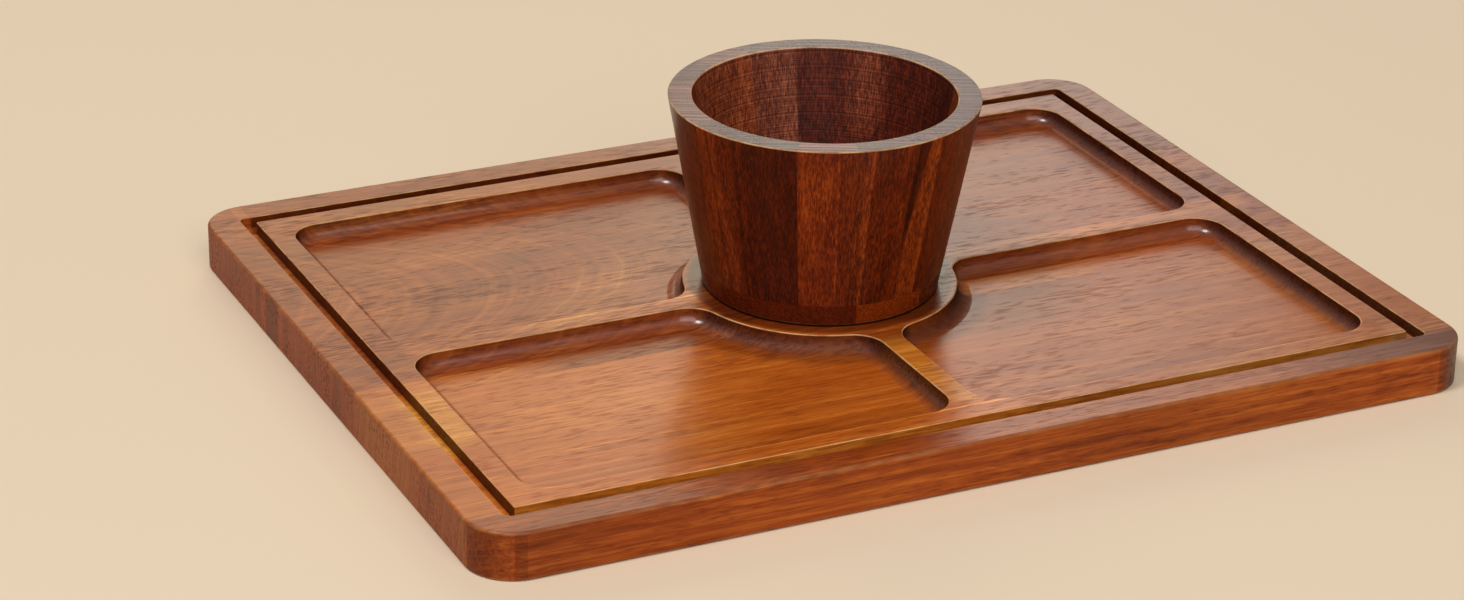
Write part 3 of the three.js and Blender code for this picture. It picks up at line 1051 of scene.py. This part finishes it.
blank = board_mesh()
for node, (low, high) in zip(PLANKS, between(BOARD_JOINTS)):
    plank = slab(blank, (0, 0, 0), (0, 1, 0), low, high)
    make_piece("board_" + node, plank, "board", [node], PLANK_MATERIALS[node])
blank.free()

for i, node in enumerate(STAVES, 1):
    start = FIRST_STAVE + (i - 1) * STAVE_ANGLE
    middle = start + STAVE_ANGLE / 2
    material = acacia(
        "acacia_" + node, STAVE_COLOURS[i], i + 3.0, origin=BOWL_AXIS, turn=middle, upright=True,
        ring_angle=RIM_LINES + 90 - math.degrees(middle), streak_share=0.45, fibre_share=1.2,
        mottle_share=0.15, fibre_size=(110, 1800), pore_size=(170, 1300), pore_share=0.5,
        marks=STAVE_MARKS.get(i, ()), inside_painted_light=STAVE_INSIDE_PAINTED_LIGHT.get(i, ()), end_blend="MIX",
        end_colour=RIM_PINK if i in PINK_STAVES else RIM_GREY, end_share=0.95, turned_and_lit_inside=True,
    )
    make_piece("bowl_" + node, stave_mesh(start), "bowl", [node], material)

disc = disc_mesh()
across = (-math.sin(BASE_GRAIN), math.cos(BASE_GRAIN), 0)
for i, (node, (low, high)) in enumerate(zip(STRIPS, between(BASE_JOINTS))):
    strip = slab(disc, BOWL_AXIS, across, low, high)
    material = acacia(
        "acacia_" + node, STRIP_COLOURS[i], i + 21.0, origin=BOWL_AXIS, turn=BASE_GRAIN,
        fibre_share=1.0, end_share=0.1, marks=STRIP_PAINTED_LIGHT,
    )
    make_piece("bowl_" + node, strip, "bowl", [node], material)
disc.free()

# ---------------------------------------------------------------- studio
FLOOR_SIZE = 6
FLOOR_COLOUR = srgb(228, 206, 178)
FLOOR_ROUGHNESS = 0.7
AMBIENT_COLOUR = (1, 0.98, 0.95)
AMBIENT_STRENGTH = 0.2
LIGHT_DISTANCE = 5.0

table = Nodes("table")
table_shader = table.add(
    "BsdfPrincipled", {"Base Color": (*FLOOR_COLOUR, 1), "Roughness": FLOOR_ROUGHNESS}
)
table.add("OutputMaterial", {"Surface": table_shader.outputs[0]})

floor_bm = bmesh.new()
bmesh.ops.create_grid(floor_bm, x_segments=1, y_segments=1, size=FLOOR_SIZE)
floor_mesh = bpy.data.meshes.new("floor")
floor_bm.to_mesh(floor_mesh)
floor_bm.free()
floor = bpy.data.objects.new("floor", floor_mesh)
floor_mesh.materials.append(table.material)
bpy.context.scene.collection.objects.link(floor)

world = bpy.data.worlds.new("studio")
world.use_nodes = True
background = world.node_tree.nodes["Background"]
background.inputs["Color"].default_value = (*AMBIENT_COLOUR, 1)
background.inputs["Strength"].default_value = AMBIENT_STRENGTH
bpy.context.scene.world = world


def softbox(name, azimuth, elevation, wide, high, radiance, colour=(1, 1, 1)):
    """A rectangular area light that faces the object. Azimuth 0 is behind the object along +Y
    and 90 along +X; wide and high are the angles that it covers, all in degrees."""
    light = bpy.data.lights.new(name, "AREA")
    light.shape = "RECTANGLE"
    light.size = 2 * LIGHT_DISTANCE * math.tan(math.radians(wide / 2))
    light.size_y = 2 * LIGHT_DISTANCE * math.tan(math.radians(high / 2))
    light.energy = radiance * math.pi * light.size * light.size_y
    light.color = colour
    lamp = bpy.data.objects.new(name, light)
    a, e = math.radians(azimuth), math.radians(elevation)
    back = Vector((math.sin(a) * math.cos(e), math.cos(a) * math.cos(e), math.sin(e)))
    lamp.location = back * LIGHT_DISTANCE
    lamp.rotation_mode = "QUATERNION"
    lamp.rotation_quaternion = (-back).to_track_quat("-Z", "Y")
    bpy.context.scene.collection.objects.link(lamp)


YELLOW_LIGHT = (1.0, 0.86, 0.56)
WARM_LIGHT = (1.0, 0.97, 0.86)
softbox("overhead", -101, 60, wide=14, high=14, radiance=22.7)
softbox("backdrop_left", 15, 24, wide=26, high=30, radiance=1.6, colour=YELLOW_LIGHT)
softbox("backdrop_right", 31, 24, wide=11, high=30, radiance=2.2, colour=WARM_LIGHT)
softbox("front", 195, 42, wide=50, high=44, radiance=2.7)

# ---------------------------------------------------------------- camera
# fitted to the board's straight edges; it looks along azimuth from +Y towards +X, and downwards
CAMERA_PLACE = (-0.6167, -1.2055, 0.6144)
AZIMUTH = math.radians(25.72)
DOWNWARDS = math.radians(24.15)
ROLL = math.radians(1.03)
SENSOR_WIDTH = 36.0
LENS = 94.2

camera_data = bpy.data.cameras.new("camera")
camera_data.sensor_width = SENSOR_WIDTH
camera_data.lens = LENS
camera_data.clip_start = 0.05
camera_data.clip_end = 50
camera = bpy.data.objects.new("camera", camera_data)
forward = Vector(
    (
        math.sin(AZIMUTH) * math.cos(DOWNWARDS),
        math.cos(AZIMUTH) * math.cos(DOWNWARDS),
        -math.sin(DOWNWARDS),
    )
)
level = Vector((math.cos(AZIMUTH), -math.sin(AZIMUTH), 0))
upright = level.cross(forward)
right = math.cos(ROLL) * level + math.sin(ROLL) * upright
up = math.cos(ROLL) * upright - math.sin(ROLL) * level
turned = Matrix((right, up, -forward)).transposed().to_4x4()
camera.matrix_world = Matrix.Translation(CAMERA_PLACE) @ turned
bpy.context.scene.collection.objects.link(camera)
bpy.context.scene.camera = camera
bpy.context.scene.view_settings.view_transform = "Standard"
